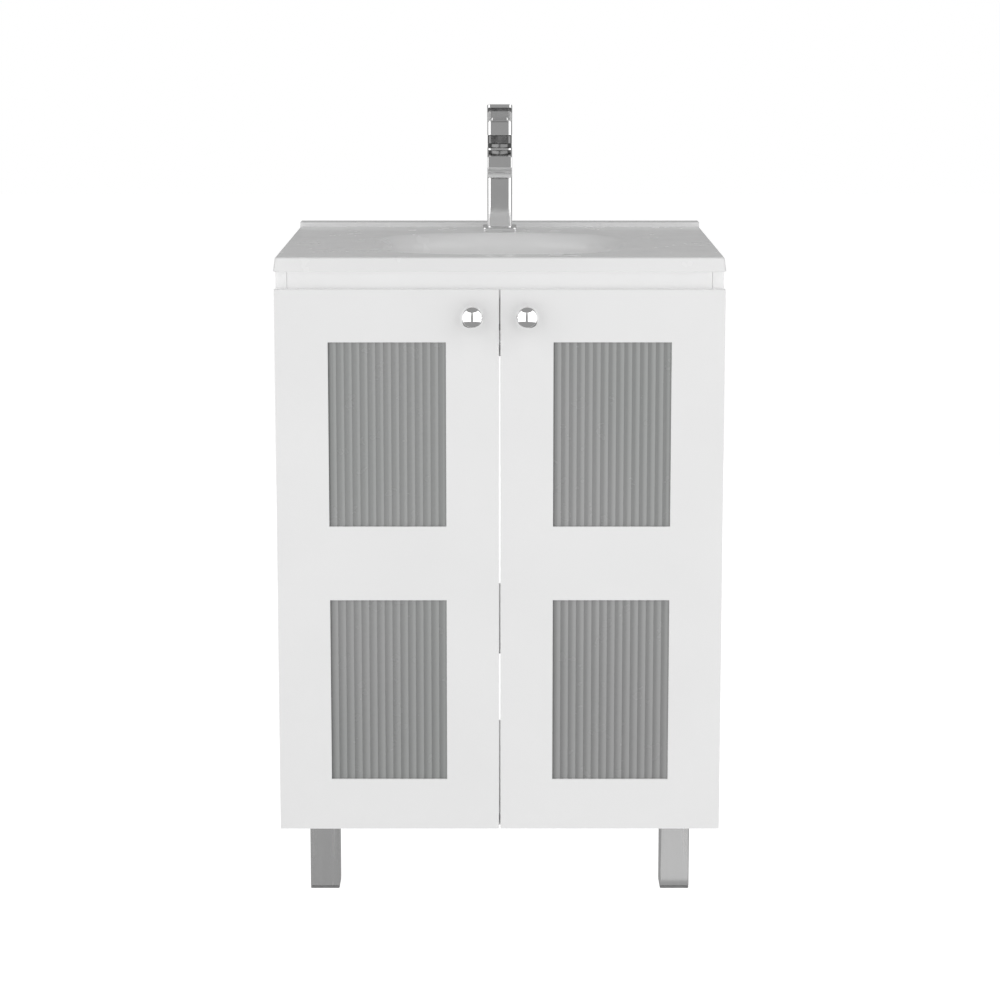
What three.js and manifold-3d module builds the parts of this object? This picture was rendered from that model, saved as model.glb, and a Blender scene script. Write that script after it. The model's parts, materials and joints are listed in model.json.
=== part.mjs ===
// Bathroom vanity cabinet: two glazed doors, a ceramic basin, a square mixer tap and four square metal legs.
// Millimetres, +Z up, +Y towards the wall. The origin is on the floor, at the centre of the outline.
import * as THREE from 'three';
import { mergeVertices } from 'three/addons/utils/BufferGeometryUtils.js';
import Module from 'manifold-3d';

const wasm = await Module();
wasm.setup();

// ---------------------------------------------------------------- driving dimensions
const basinWidth = 600; // side to side, at the basin's lower edge
const basinDepth = 480; // from the wall to the basin's front edge
const deckHeight = 883; // floor to the basin's flat top
const legHeight = 100; // floor to the underside of the cabinet
const board = 15; // thickness of every board
const fit = 0.3; // gap between pieces that touch

const basinOverhang = 2; // of the basin past each side panel
const basinEdge = 19; // height of the basin's outer edge
const basinDraft = 2; // how far that edge leans in
const basinRounding = 3;
const basinCorner = 6; // radius of the corners in plan
const slabThickness = 12; // of the deck, inside its outer skirt
const skirt = 20; // width of that skirt
const lipHeight = 6.5; // of the raised strip along the wall
const lipDepth = 30;
const lipRounding = 1.2;

const bowlFront = 62; // from the basin's front edge to the bowl's wall
const bowlBack = 146; // from the wall to the bowl's wall
const bowlSide = 144; // from each side of the basin to the bowl's wall
const bowlFall = 100; // deck to the bowl's floor
const bowlRound = 22; // rounding of the bowl's rim
const bowlWall = 9;
const bowlSquareness = 2.9; // superellipse power of the rim, where 2 is an ellipse
const wallSquareness = 2.2; // the same, for the bowl's profile from rim to floor

const doorStandoff = 2; // from the doors' backs to the carcass
const frontRailHeight = 37;
const backRailHeight = 178;
const shelfHeight = 219; // underside of the shelf above the cabinet's underside
const shelfSetback = 85;
const shelfBackGap = 10;
const shelfSideGap = 1.5;
const pinRadius = 2.4;
const pinHeadRadius = 4.5;
const pinHeadLength = 8;
const pinDepth = 8;
const pinInset = 45; // from the shelf's front and back edges

const doorReveal = 24; // of the carcass above the doors
const doorMargin = 1; // from the basin's side to the door's outer edge
const doorGap = 2; // between the two doors
const doorStile = 70.5;
const doorRail = 70;
const middleRail = 101;
const glassLip = 3; // front lip that the glass rests against
const rebate = 8; // how far the glass reaches behind that lip
const glassThickness = 4;
const fluteCount = 15;
const fluteHeight = 1.2;
const retainerWidth = 12;
const retainerThickness = 6;

const knobRadius = 17;
const knobProjection = 33;
const knobDrop = 35; // from the door's top to the knob's centre
const knobBaseRadius = 8;
const knobBaseHeight = 2;
const knobNeckRadius = 5.5;
const screwRadius = 2;
const screwHeadRadius = 4;
const screwHeadHeight = 1.5;
const bumperRadius = 4;
const bumperInset = 12; // from the door's free edge

const hingeInset = 100; // from the door's top and bottom to the hinge's centre
const cupRadius = 17.5;
const cupDepth = 12;
const cupInset = 22.5; // from the door's outer edge to the cup's centre
const cupWall = 1.2;
const flangeWidth = 22;
const flangeLength = 60;
const plateLength = 44;
const plateHeight = 50;
const plateThickness = 3;
const wingSetback = 13; // from the plate's front end to the wings that its screws go through
const wingWidth = 12;
const plateInset = 18; // from the carcass's front edge
const armWidth = 12;
const armHeight = 8;
const armWall = 2;
const armReach = 6; // how far the arm's nose enters the cup

const legSize = 40;
const legWall = 2;
const legCorner = 2;
const legInset = 36; // from the carcass's outer side to the leg
const legSetback = 26; // from the carcass's front and back to the leg
const footPad = 3;
const footSpigot = 15;
const studRadius = 4;
const studLength = 11;

const drainSetback = 215; // from the basin's front edge to the drain's centre
const drainTube = 22; // radius of the waste's tail
const drainWall = 4.5;
const drainFlangeWidth = 9; // around the tail
const drainHoleClearance = 1;
const drainLength = 42; // below the bowl's floor
const drainNutWall = 10; // around the tail, to the nut's corners
const stopperOverlap = 7.5; // of the stopper past the waste's bore
const stopperEdge = 2; // thickness of the stopper at its edge
const stopperRise = 5.5; // from the drain's flange to the stopper's top
const stopperBevel = 3;
const stemRadius = 3;

const tapSetback = 92; // from the wall to the tap's centre
const tapBaseMargin = 7; // of the base around the column
const tapBaseHeight = 7;
const tapSize = 36; // side of the square column
const tapCorner = 5;
const tapHeight = 122; // deck to the column's top
const shankRadius = 16;
const shankWall = 3;
const tapHoleClearance = 1.5; // around the shank
const shankLength = 40; // below the deck
const tapNutWall = 9; // around the shank, to the nut's corners
const tapNutHeight = 8;
const spoutReach = 103; // from the tap's centre to the spout's end
const spoutRoot = 36; // height of the spout at the column
const spoutEnd = 32;
const spoutFall = 6;
const spoutNose = 19; // radius of the spout's lower front edge
const spoutBrow = 2; // chamfer of its upper front edge
const waterwayRadius = 5;
const waterwayDrop = 16; // below the spout's top
const aeratorMargin = 6; // from the spout's sides to the aerator
const aeratorInset = 36; // from the spout's end to the aerator's centre
const aeratorDepth = 6; // into the spout
const aeratorDrop = 2; // below the spout
const aeratorWall = 4;
const collarHeight = 6; // of the round neck that the handle turns on
const neckDepth = 20; // how far the neck reaches into the column
const collarInset = 0.5; // from the column's sides to the neck's
const bandHeight = 12; // of the dark band under the cap
const bandInset = 0.5; // from the cap's sides to the band's
const capHeight = 21;
const leverThickness = 5;
const leverLength = 82; // from the pin
const leverRise = THREE.MathUtils.degToRad(24);
const leverPivotBack = 8; // behind the tap's centre
const leverClear = 3.7; // from the pin's centre up to the handle's underside
const lugMargin = 8; // from the handle's sides to the lug's
const lugRadius = 4;
const leverPinRadius = 2;
const pinCover = 4.5; // of the cap over each end of the lever's pin
const capNotch = 7.7; // depth of the notch in the cap's front, under the handle

// ---------------------------------------------------------------- places worked out from them
const backY = (basinDepth + knobProjection) / 2;
const frontY = backY - basinDepth;
const doorBack = frontY + board;
const carcassFront = doorBack + doorStandoff;
const carcassSide = basinWidth / 2 - basinOverhang;
const innerSide = carcassSide - board;
const carcassTop = deckHeight - basinEdge - fit;
const doorHeight = carcassTop + fit - doorReveal - legHeight;
const doorWidth = basinWidth / 2 - doorMargin - doorGap / 2;
const windowWidth = doorWidth - 2 * doorStile;
const windowHeight = (doorHeight - 2 * doorRail - middleRail) / 2;
const windowRise = { lower: doorRail, upper: doorRail + windowHeight + middleRail };
const hingeRise = { lower: hingeInset, upper: doorHeight - hingeInset };
const tapY = backY - tapSetback;
const tapBase = tapSize + 2 * tapBaseMargin;
const drainY = frontY + drainSetback;
const bowlFloor = deckHeight - bowlFall;
const shankBore = shankRadius - shankWall;
const tapHole = shankRadius + tapHoleClearance;
const tapNutRadius = shankRadius + tapNutWall;
const drainHole = drainTube + drainHoleClearance;
const drainBore = drainTube - drainWall;
const drainFlange = drainTube + drainFlangeWidth;
const drainNutRadius = drainTube + drainNutWall;
const stopperRadius = drainBore + stopperOverlap;
const sides = { left: -1, right: 1 };

// ---------------------------------------------------------------- materials
const finish = (color, roughness, metalness = 0) =>
  new THREE.MeshStandardMaterial({ color, roughness, metalness });
const lacquer = finish(0xf2f2f2, 0.55);
const melamine = finish(0xf4f4f2, 0.6);
const ceramic = finish(0xf6f6f6, 0.08);
const chrome = finish(0xd8d8da, 0.08, 1);
const legMetal = finish(0xc4c5c6, 0.22, 1);
const steel = finish(0xa9abad, 0.35, 1);
const darkMetal = finish(0x4a4a4c, 0.4, 1);
const rubber = finish(0x2c2c2e, 0.9);
const plastic = finish(0xdedede, 0.5);
const footPlastic = finish(0x707072, 0.6);
const fluted = finish(0xa9b0ac, 0.2);
fluted.transparent = true;
fluted.opacity = 0.6;

// ---------------------------------------------------------------- shapes
const vanity = new THREE.Group();

function place(parent, name, geometry, material, x = 0, y = 0, z = 0) {
  const mesh = new THREE.Mesh(geometry, material);
  mesh.name = name;
  mesh.position.set(x, y, z);
  parent.add(mesh);
  return mesh;
}

// The closed box between two opposite corners.
function block([x0, y0, z0], [x1, y1, z1]) {
  const geometry = new THREE.BoxGeometry(Math.abs(x1 - x0), Math.abs(y1 - y0), Math.abs(z1 - z0));
  return geometry.translate((x0 + x1) / 2, (y0 + y1) / 2, (z0 + z1) / 2);
}

// A cylinder between two points.
function rod(radius, from, to, segments = 20) {
  const start = new THREE.Vector3(...from);
  const along = new THREE.Vector3(...to).sub(start);
  const geometry = new THREE.CylinderGeometry(radius, radius, along.length(), segments);
  const axis = new THREE.Vector3(0, 1, 0);
  const turn = new THREE.Quaternion().setFromUnitVectors(axis, along.clone().normalize());
  return geometry.applyQuaternion(turn).translate(...start.addScaledVector(along, 0.5).toArray());
}

// A profile of [radius, height] pairs turned about +Z. Listed upwards along its outer side.
function turned(profile, segments = 24) {
  const points = profile.map(([radius, height]) => new THREE.Vector2(radius, height));
  return new THREE.LatheGeometry(points, segments).rotateX(Math.PI / 2);
}

// A ring of square section about +Z.
function ring(outer, inner, low, high, segments = 24) {
  return turned([[inner, low], [outer, low], [outer, high], [inner, high], [inner, low]], segments);
}

function roundedRect(width, height, radius) {
  const [x, y] = [width / 2, height / 2];
  const shape = new THREE.Shape();
  shape.absarc(x - radius, y - radius, radius, 0, Math.PI / 2);
  shape.absarc(radius - x, y - radius, radius, Math.PI / 2, Math.PI);
  shape.absarc(radius - x, radius - y, radius, Math.PI, 1.5 * Math.PI);
  shape.absarc(x - radius, radius - y, radius, 1.5 * Math.PI, 2 * Math.PI);
  return shape;
}

// A prism along +Z between two heights.
function upright(shape, low, high, curveSegments = 4) {
  const settings = { depth: high - low, bevelEnabled: false, curveSegments };
  const geometry = new THREE.ExtrudeGeometry(shape, settings);
  return geometry.translate(0, 0, low);
}

// A prism along X, centred on X = 0, of an outline drawn in Y and Z.
function sideways(shape, width, curveSegments = 6) {
  const geometry = new THREE.ExtrudeGeometry(shape, { depth: width, bevelEnabled: false, curveSegments });
  const [x, y, z] = [new THREE.Vector3(1, 0, 0), new THREE.Vector3(0, 1, 0), new THREE.Vector3(0, 0, 1)];
  return geometry.translate(0, 0, -width / 2).applyMatrix4(new THREE.Matrix4().makeBasis(y, z, x));
}

// A closed skin through convex rings of points, listed upwards, each anticlockwise from above.
function loft(rings) {
  const count = rings[0].length;
  const positions = rings.flat().flatMap((p) => p.toArray());
  const index = [];
  for (let level = 0; level < rings.length - 1; level++) {
    for (let i = 0; i < count; i++) {
      const [a, b] = [level * count + i, level * count + (i + 1) % count];
      index.push(a, b, b + count, a, b + count, a + count);
    }
  }
  const top = (rings.length - 1) * count;
  for (let i = 1; i < count - 1; i++) {
    index.push(0, i + 1, i, top, top + i, top + i + 1);
  }
  const geometry = new THREE.BufferGeometry();
  geometry.setAttribute('position', new THREE.Float32BufferAttribute(positions, 3));
  geometry.setIndex(index);
  return geometry;
}

function toSolid(geometry) {
  const bare = new THREE.BufferGeometry();
  bare.setAttribute('position', geometry.getAttribute('position').clone());
  bare.setIndex(geometry.getIndex());
  const merged = mergeVertices(bare, 1e-3);
  const corners = merged.getIndex().array;
  const triVerts = [];
  for (let i = 0; i < corners.length; i += 3) {
    const [a, b, c] = corners.slice(i, i + 3);
    if (a !== b && b !== c && c !== a) triVerts.push(a, b, c);
  }
  const vertProperties = new Float32Array(merged.getAttribute('position').array);
  const mesh = { numProp: 3, vertProperties, triVerts: new Uint32Array(triVerts) };
  return new wasm.Manifold(new wasm.Mesh(mesh));
}

function toGeometry(solid) {
  const mesh = solid.getMesh();
  const geometry = new THREE.BufferGeometry();
  geometry.setAttribute('position', new THREE.Float32BufferAttribute(mesh.vertProperties, 3));
  geometry.setIndex([...mesh.triVerts]);
  geometry.computeVertexNormals();
  return geometry;
}

const join = (...pieces) => toGeometry(pieces.map(toSolid).reduce((whole, piece) => whole.add(piece)));
const cut = (piece, ...tools) =>
  toGeometry(tools.map(toSolid).reduce((whole, tool) => whole.subtract(tool), toSolid(piece)));

// ---------------------------------------------------------------- carcass
const shelfFront = carcassFront + shelfSetback;
const shelfBack = backY - shelfBackGap;
const shelfLow = legHeight + shelfHeight;
const pinZ = shelfLow - fit - pinHeadRadius;
const pinRows = { front: shelfFront + pinInset, back: shelfBack - pinInset };
const legRows = { front: carcassFront + legSetback + legSize / 2, back: backY - legSetback - legSize / 2 };
const legX = carcassSide - legInset - legSize / 2;

function addCarcass() {
  const innerX = innerSide - fit;
  for (const [name, side] of Object.entries(sides)) {
    const panel = block(
      [side * innerSide, carcassFront, legHeight],
      [side * carcassSide, backY, carcassTop]);
    const [mouth, bottom] = [side * (innerSide - 1), side * (innerSide + pinDepth + fit)];
    const holes = Object.values(pinRows).map((y) =>
      rod(pinRadius + fit, [mouth, y, pinZ], [bottom, y, pinZ], 12));
    place(vanity, `side_panel_${name}`, cut(panel, ...holes), lacquer);
  }
  const floor = block([-innerX, carcassFront, legHeight], [innerX, backY, legHeight + board]);
  const studHoles = [-legX, legX].flatMap((x) => Object.values(legRows).map((y) =>
    rod(studRadius + fit, [x, y, legHeight - 1], [x, y, legHeight + studLength + 1], 16)));
  place(vanity, 'bottom_panel', cut(floor, ...studHoles), melamine);
  place(vanity, 'front_rail',
    block([-innerX, carcassFront, carcassTop - frontRailHeight], [innerX, carcassFront + board, carcassTop]),
    lacquer);
  place(vanity, 'back_rail',
    block([-innerX, backY - board, carcassTop - backRailHeight], [innerX, backY, carcassTop]), melamine);
}

function addShelf() {
  const shelfX = innerSide - shelfSideGap;
  const shelf = block([-shelfX, shelfFront, shelfLow], [shelfX, shelfBack, shelfLow + board]);
  place(vanity, 'shelf', shelf, melamine);
  const pin = join(
    rod(pinRadius, [-1, 0, 0], [pinDepth, 0, 0], 12),
    rod(pinHeadRadius, [-pinHeadLength, 0, 0], [-fit, 0, 0], 16));
  for (const [name, side] of Object.entries(sides)) {
    for (const [row, y] of Object.entries(pinRows)) {
      const mesh = place(vanity, `shelf_pin_${row}_${name}`, pin, steel, side * innerSide, y, pinZ);
      mesh.rotation.z = side < 0 ? Math.PI : 0;
    }
  }
}

function addLegs() {
  const half = legSize / 2 - legWall;
  const tubeTop = legHeight - fit;
  const tube = upright(roundedRect(legSize, legSize, legCorner), footPad + fit, tubeTop, 3);
  const hollow = block([-half, -half, 0], [half, half, tubeTop - legWall]);
  const stud = rod(studRadius, [0, 0, tubeTop - 1], [0, 0, legHeight + studLength], 16);
  const leg = join(cut(tube, hollow), stud);
  const plug = half - fit;
  const foot = join(
    upright(roundedRect(legSize, legSize, legCorner), 0, footPad, 3),
    block([-plug, -plug, footPad - 1], [plug, plug, footPad + footSpigot]));
  for (const [name, side] of Object.entries(sides)) {
    for (const [row, y] of Object.entries(legRows)) {
      place(vanity, `leg_${row}_${name}`, leg, legMetal, side * legX, y);
      place(vanity, `leg_foot_${row}_${name}`, foot, footPlastic, side * legX, y);
    }
  }
}

// The fixed half of each concealed hinge: a screwed plate, and an arm whose nose reaches into the cup.
function addHingeArms() {
  const plateY = carcassFront + plateInset;
  const shape = new THREE.Shape();
  const [y1, y2, y3] = [wingSetback, wingSetback + wingWidth, plateLength];
  const [low, high] = [armWidth / 2 + 1, plateHeight / 2];
  shape.moveTo(0, -low);
  const corners = [[y1, -low], [y1, -high], [y2, -high], [y2, -low], [y3, -low],
    [y3, low], [y2, low], [y2, high], [y1, high], [y1, low], [0, low]];
  for (const [y, z] of corners) shape.lineTo(y, z);
  const plate = sideways(shape, plateThickness);
  const armBack = plateY + plateLength - armWall;
  const nose = doorBack - armReach;
  const hingeArm = (side) => cut(
    block([-armHeight / 2, nose, -armWidth / 2], [armHeight / 2, armBack, armWidth / 2]),
    block([0, plateY + armWall, armWall - armWidth / 2],
      [side * armHeight, armBack + 1, armWidth / 2 - armWall]));
  for (const [name, side] of Object.entries(sides)) {
    for (const [level, rise] of Object.entries(hingeRise)) {
      const z = legHeight + rise;
      const plateX = innerSide - fit - plateThickness / 2;
      const armX = plateX - plateThickness / 2 - fit - armHeight / 2;
      place(vanity, `hinge_plate_${level}_${name}`, plate, steel, side * plateX, plateY, z);
      place(vanity, `hinge_arm_${level}_${name}`, hingeArm(side), steel, side * armX, 0, z);
    }
  }
}

// ---------------------------------------------------------------- doors
// Each door is drawn from its outer lower front corner: `reach` runs towards the door's free edge.
function addDoor(name, side) {
  const door = new THREE.Group();
  door.position.set(side * (basinWidth / 2 - doorMargin), frontY, legHeight);
  vanity.add(door);
  const at = (reach) => -side * reach;
  const knobAt = doorWidth - doorStile / 2;
  const knobZ = doorHeight - knobDrop;
  const pocket = Object.values(windowRise).flatMap((z) => [
    block([at(doorStile), -1, z], [at(doorStile + windowWidth), board + 1, z + windowHeight]),
    block([at(doorStile - rebate), glassLip, z - rebate],
      [at(doorStile + windowWidth + rebate), board + 1, z + windowHeight + rebate]),
  ]);
  const cups = Object.values(hingeRise).map((z) =>
    rod(cupRadius + fit, [at(cupInset), board - cupDepth - fit, z], [at(cupInset), board + 1, z], 32));
  const panel = block([0, 0, 0], [at(doorWidth), board, doorHeight]);
  const knobHole = rod(screwRadius + fit, [at(knobAt), -1, knobZ], [at(knobAt), board + 1, knobZ], 12);
  place(door, `door_panel_${name}`, cut(panel, ...pocket, ...cups, knobHole), lacquer);

  const glass = flutedGlass();
  const retainer = retainerFrame();
  for (const [level, z] of Object.entries(windowRise)) {
    const [x, middle] = [at(doorStile + windowWidth / 2), z + windowHeight / 2];
    place(door, `glass_${level}_${name}`, glass, fluted, x, glassLip + fit, middle);
    const retainerY = glassLip + glassThickness + 2 * fit;
    place(door, `glass_retainer_${level}_${name}`, retainer, plastic, x, retainerY, middle);
  }
  const cup = hingeCup(-side);
  for (const [level, z] of Object.entries(hingeRise)) {
    place(door, `hinge_cup_${level}_${name}`, cup, steel, at(cupInset), board, z);
  }
  place(door, `knob_${name}`, knob(), chrome, at(knobAt), -fit, knobZ);
  place(door, `knob_screw_${name}`, knobScrew(), steel, at(knobAt), board, knobZ);
  const bumperZ = doorHeight + doorReveal - frontRailHeight / 2 - doorReveal / 2;
  const thickness = doorStandoff - fit;
  place(door, `bumper_${name}`, rod(bumperRadius, [0, fit / 2, 0], [0, thickness, 0], 16), rubber,
    at(doorWidth - bumperInset), board, bumperZ);
}

// A pane with round flutes along its height on the front, centred in X and Z, its front at Y = 0.
function flutedGlass() {
  const clearance = 1;
  const width = windowWidth + 2 * (rebate - clearance);
  const height = windowHeight + 2 * (rebate - clearance);
  const pitch = windowWidth / fluteCount;
  const steps = 4;
  const shape = new THREE.Shape();
  shape.moveTo(width / 2, fluteHeight);
  shape.lineTo(width / 2, glassThickness);
  shape.lineTo(-width / 2, glassThickness);
  shape.lineTo(-width / 2, fluteHeight);
  for (let i = 0; i <= fluteCount * steps; i++) {
    const crest = Math.abs(Math.sin((Math.PI * i) / steps));
    shape.lineTo(-windowWidth / 2 + (i * pitch) / steps, fluteHeight * (1 - crest));
  }
  return upright(shape, -height / 2, height / 2);
}

function retainerFrame() {
  const clearance = 0.5;
  const [x, z] = [windowWidth / 2 + rebate - clearance, windowHeight / 2 + rebate - clearance];
  const [openX, openZ] = [x - retainerWidth, z - retainerWidth];
  return cut(
    block([-x, 0, -z], [x, retainerThickness, z]),
    block([-openX, -1, -openZ], [openX, retainerThickness + 1, openZ]));
}

// The door's half of a concealed hinge, seated from Y = 0 towards the door's front.
// Its flange lies towards `reach`.
function hingeCup(reach = 1) {
  const flangeThickness = doorStandoff - 2 * fit;
  const body = rod(cupRadius, [0, -cupDepth, 0], [0, 0.5, 0], 32);
  const hollow = rod(cupRadius - cupWall, [0, cupWall - cupDepth, 0], [0, board, 0], 32);
  const near = reach * (cupRadius - flangeWidth + cupWall);
  const far = near + reach * flangeWidth;
  const flange = block([near, fit, -flangeLength / 2], [far, flangeThickness, flangeLength / 2]);
  return cut(join(body, flange), hollow);
}

// A ball knob on a short neck and base, pointing towards -Y from Y = 0.
function knob() {
  const steps = 10;
  const neck = Math.acos(knobNeckRadius / knobRadius);
  const centre = knobProjection - fit - knobRadius;
  const neckLow = knobBaseHeight + (knobBaseRadius - knobNeckRadius) / 2;
  const profile = [[0, 0], [knobBaseRadius, 0], [knobBaseRadius, knobBaseHeight], [knobNeckRadius, neckLow]];
  for (let i = 0; i <= steps; i++) {
    const angle = -neck + ((neck + Math.PI / 2) * i) / steps;
    const height = centre + knobRadius * Math.sin(angle);
    if (height > neckLow + fit) profile.push([knobRadius * Math.cos(angle), height]);
  }
  profile[profile.length - 1][0] = 0;
  const body = turned(profile).rotateX(Math.PI / 2);
  return cut(body, rod(screwRadius + fit, [0, 1, 0], [0, -centre, 0], 12));
}

function knobScrew() {
  return join(
    rod(screwRadius, [0, 1, 0], [0, -board - knobProjection / 3, 0], 12),
    rod(screwHeadRadius, [0, fit, 0], [0, fit + screwHeadHeight, 0], 16));
}

// ---------------------------------------------------------------- basin
// A rounded rectangle or a superellipse as a ring of points at one height.
function rectRing(halfWidth, front, back, radius, z) {
  const shape = roundedRect(2 * halfWidth, back - front, radius);
  const points = shape.getPoints(4).filter((p, i, all) => i === 0 || p.distanceTo(all[i - 1]) > 1e-6);
  if (points[0].distanceTo(points[points.length - 1]) < 1e-6) points.pop();
  return points.map((p) => new THREE.Vector3(p.x, p.y + (front + back) / 2, z));
}

function bowlRing(halfWidth, halfDepth, centreY, power, z) {
  const count = 40;
  const points = [];
  for (let i = 0; i < count; i++) {
    const [c, s] = [Math.cos((2 * Math.PI * i) / count), Math.sin((2 * Math.PI * i) / count)];
    const x = Math.sign(c) * halfWidth * Math.abs(c) ** (2 / power);
    const y = Math.sign(s) * halfDepth * Math.abs(s) ** (2 / power);
    points.push(new THREE.Vector3(x, centreY + y, z));
  }
  return points;
}

// The bowl's skin, `grow` outside its inner face, from its floor up past the deck.
function bowl(grow) {
  const [front, back] = [frontY + bowlFront, backY - bowlBack];
  const [centre, halfDepth] = [(front + back) / 2, (back - front) / 2];
  const halfWidth = basinWidth / 2 - bowlSide;
  const seat = drainFlange + 2;
  const steps = 7;
  const rings = [];
  for (let i = steps; i >= 0; i--) {
    const angle = (Math.PI / 2) * (i / steps);
    const out = Math.max(Math.cos(angle), 0) ** (2 / wallSquareness);
    const fall = bowlRound + (bowlFall - bowlRound + grow) * Math.sin(angle) ** (2 / wallSquareness);
    rings.push(bowlRing(
      seat + grow + (halfWidth - seat) * out,
      seat + grow + (halfDepth - seat) * out,
      drainY + (centre - drainY) * out,
      2 + (bowlSquareness - 2) * out,
      deckHeight - fall));
  }
  if (grow > 0) {
    const top = deckHeight - bowlRound / 2;
    rings.push(bowlRing(halfWidth + grow, halfDepth + grow, centre, bowlSquareness, top));
    return loft(rings);
  }
  const roundSteps = 4;
  for (let i = roundSteps - 1; i >= 0; i--) {
    const angle = (Math.PI / 2) * (i / roundSteps);
    const out = bowlRound * (1 - Math.sin(angle));
    const z = deckHeight - bowlRound * (1 - Math.cos(angle));
    rings.push(bowlRing(halfWidth + out, halfDepth + out, centre, bowlSquareness, z));
  }
  rings.push(bowlRing(halfWidth + bowlRound, halfDepth + bowlRound, centre, bowlSquareness, deckHeight + 1));
  return loft(rings);
}

function addBasin() {
  const low = deckHeight - basinEdge;
  const half = basinWidth / 2;
  const edge = (inset, z) => rectRing(half - inset, frontY + inset, backY, basinCorner, z);
  const bend = basinRounding * (1 - Math.SQRT1_2);
  const slab = loft([
    edge(0, low),
    edge(basinDraft, deckHeight - basinRounding),
    edge(basinDraft + bend, deckHeight - bend),
    edge(basinDraft + basinRounding, deckHeight),
  ]);
  const lipTop = deckHeight + lipHeight;
  const lipAt = (inset, z) => rectRing(half - basinDraft - inset, backY - lipDepth + inset, backY, 1, z);
  const lip = loft([lipAt(0.5, deckHeight - 2), lipAt(0.5, lipTop - lipRounding),
    lipAt(0.5 + lipRounding, lipTop)]);
  const recess = block(
    [skirt - half, carcassFront + skirt, low - 1],
    [half - skirt, backY - skirt, deckHeight - slabThickness]);
  const shell = toSolid(slab).subtract(toSolid(recess)).add(toSolid(lip)).add(toSolid(bowl(bowlWall)));
  const tapBore = rod(tapHole, [0, tapY, low - 1], [0, tapY, deckHeight + 1], 32);
  const outlet = rod(drainHole, [0, drainY, bowlFloor - 2 * bowlWall], [0, drainY, bowlFloor + 1], 32);
  const cuts = [bowl(0), tapBore, outlet];
  const whole = cuts.reduce((body, tool) => body.subtract(toSolid(tool)), shell);
  place(vanity, 'basin', toGeometry(whole), ceramic);
}

// ---------------------------------------------------------------- waste
function addDrain() {
  const flangeTop = 2.8;
  const under = -bowlWall - fit;
  const gasketThickness = 3;
  const nutHeight = 9;
  const hubRadius = 6;
  const hubLow = -26;
  const hubHigh = -18;
  const stemBelow = 8; // of the stopper's stem below the hub
  const barHalf = 2;
  const profile = [[drainBore, -drainLength], [drainTube, -drainLength], [drainTube, fit],
    [drainFlange, fit], [drainFlange, flangeTop], [drainBore, flangeTop], [drainBore, -drainLength]];
  const bar = block([-drainBore - 1, -barHalf, hubLow], [drainBore + 1, barHalf, hubHigh]);
  const hub = rod(hubRadius, [0, 0, hubLow], [0, 0, hubHigh], 16);
  const hubHole = rod(stemRadius + fit, [0, 0, hubLow - 1], [0, 0, hubHigh + 1], 16);
  const body = cut(join(turned(profile, 32), bar, hub), hubHole);
  place(vanity, 'drain_body', body, chrome, 0, drainY, bowlFloor);
  const gasket = ring(drainNutRadius - 1, drainTube + fit, under - gasketThickness, under, 24);
  place(vanity, 'drain_gasket', gasket, rubber, 0, drainY, bowlFloor);
  const nutTop = under - gasketThickness - fit;
  const nut = cut(rod(drainNutRadius, [0, 0, nutTop - nutHeight], [0, 0, nutTop], 8),
    rod(drainTube + fit, [0, 0, nutTop - nutHeight - 1], [0, 0, nutTop + 1], 32));
  place(vanity, 'drain_nut', nut, steel, 0, drainY, bowlFloor);
  const discLow = flangeTop + fit;
  const discHigh = flangeTop + stopperRise;
  const disc = turned([[0, discLow], [stopperRadius, discLow], [stopperRadius, flangeTop + stopperEdge],
    [stopperRadius - stopperBevel, discHigh - stopperEdge / 2], [0, discHigh]], 32);
  const stem = rod(stemRadius, [0, 0, hubLow - stemBelow], [0, 0, flangeTop + 1], 16);
  place(vanity, 'drain_stopper', join(disc, stem), chrome, 0, drainY, bowlFloor);
}

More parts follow.
